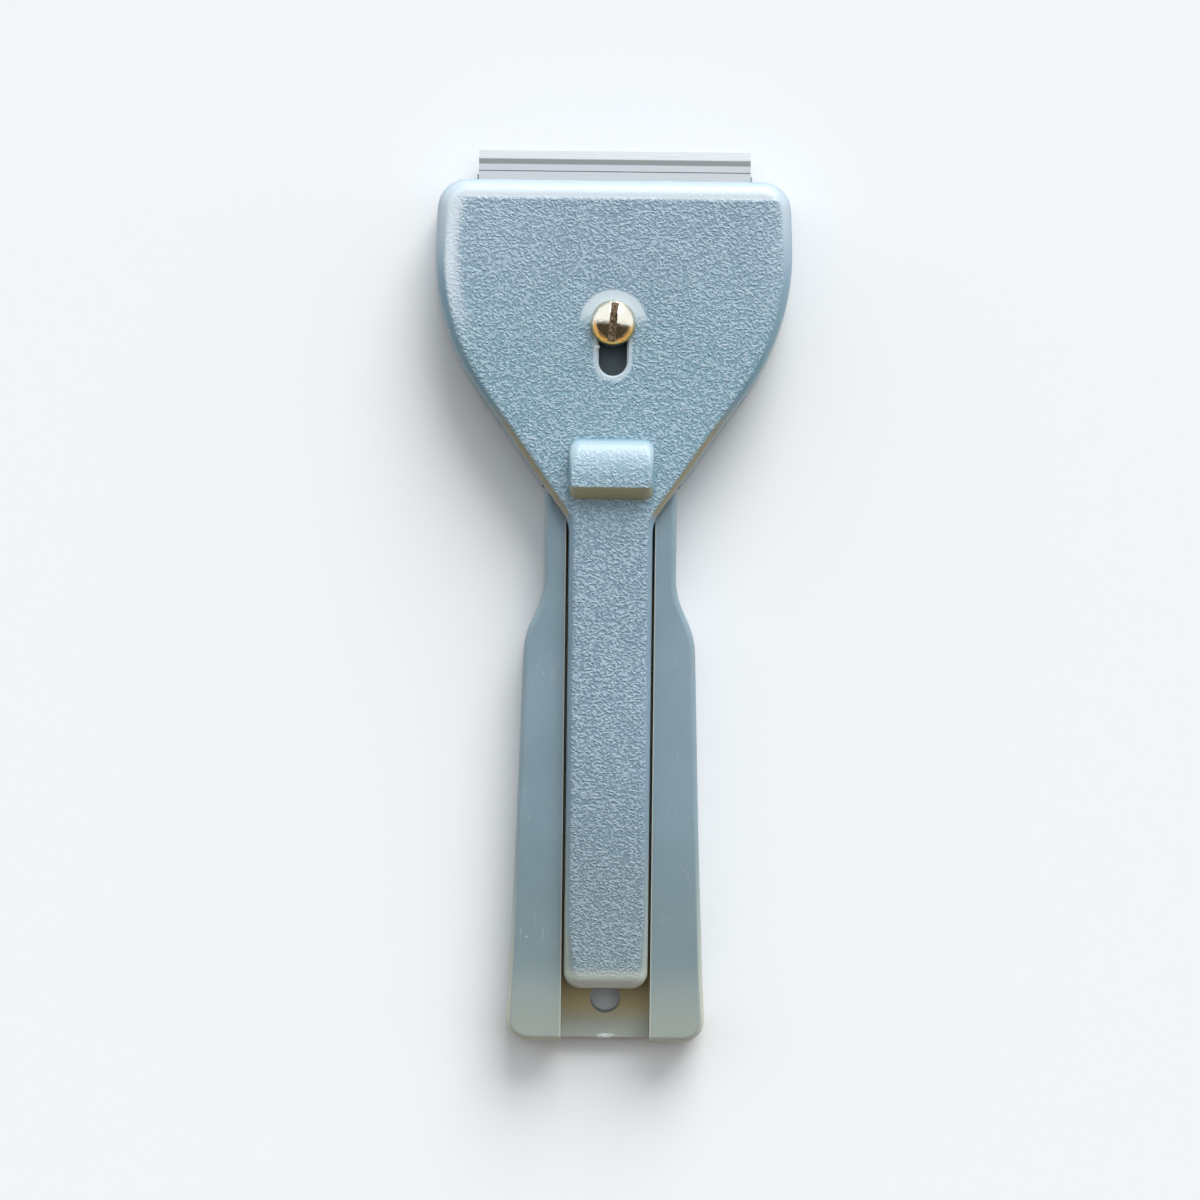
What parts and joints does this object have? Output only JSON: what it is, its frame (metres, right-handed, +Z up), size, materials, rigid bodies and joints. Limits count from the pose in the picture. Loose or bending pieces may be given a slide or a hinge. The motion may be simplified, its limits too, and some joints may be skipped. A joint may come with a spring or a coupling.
{
  "type": "ceramic hob scraper",
  "caption": "Flat hand scraper for glass-ceramic hobs: a thin blade on a moulded handle base, guarded by a sliding cover clamped with a slotted screw.",
  "frame": {"origin": "on the flat underside, halfway along the overall length from the handle's end to the blade's edge, on the middle line", "axes": "+Y along the handle towards the blade, +Z up out of the cover, +X to the right with the blade pointing away"},
  "size_m": [0.0562, 0.1404, 0.014],
  "materials": {
    "base_plastic": "smooth satin moulding, blue-grey",
    "cover_plastic": "fine moulded grain, blue-grey",
    "blade_steel": "rolled strip with ground edges",
    "screw_metal": "bright nickel over brass",
    "nut_steel": "zinc plated"
  },
  "bodies": {
    "base": {"handle_base": "base_plastic", "blade": "blade_steel", "hex_nut": "nut_steel"},
    "cover": {"slide_cover": "cover_plastic"},
    "screw": {"clamp_screw": "screw_metal"}
  },
  "joints": [
    {"name": "cover_slide", "type": "slide", "parent": "base", "child": "cover", "axis": [0, 1, 0], "range_m": [0, 0.006]},
    {"name": "screw_turn", "type": "hinge", "parent": "base", "child": "screw", "pos_m": [0, 0.04215, 0.006], "axis": [0, 0, 1], "range_deg": [0, 360]}
  ]
}
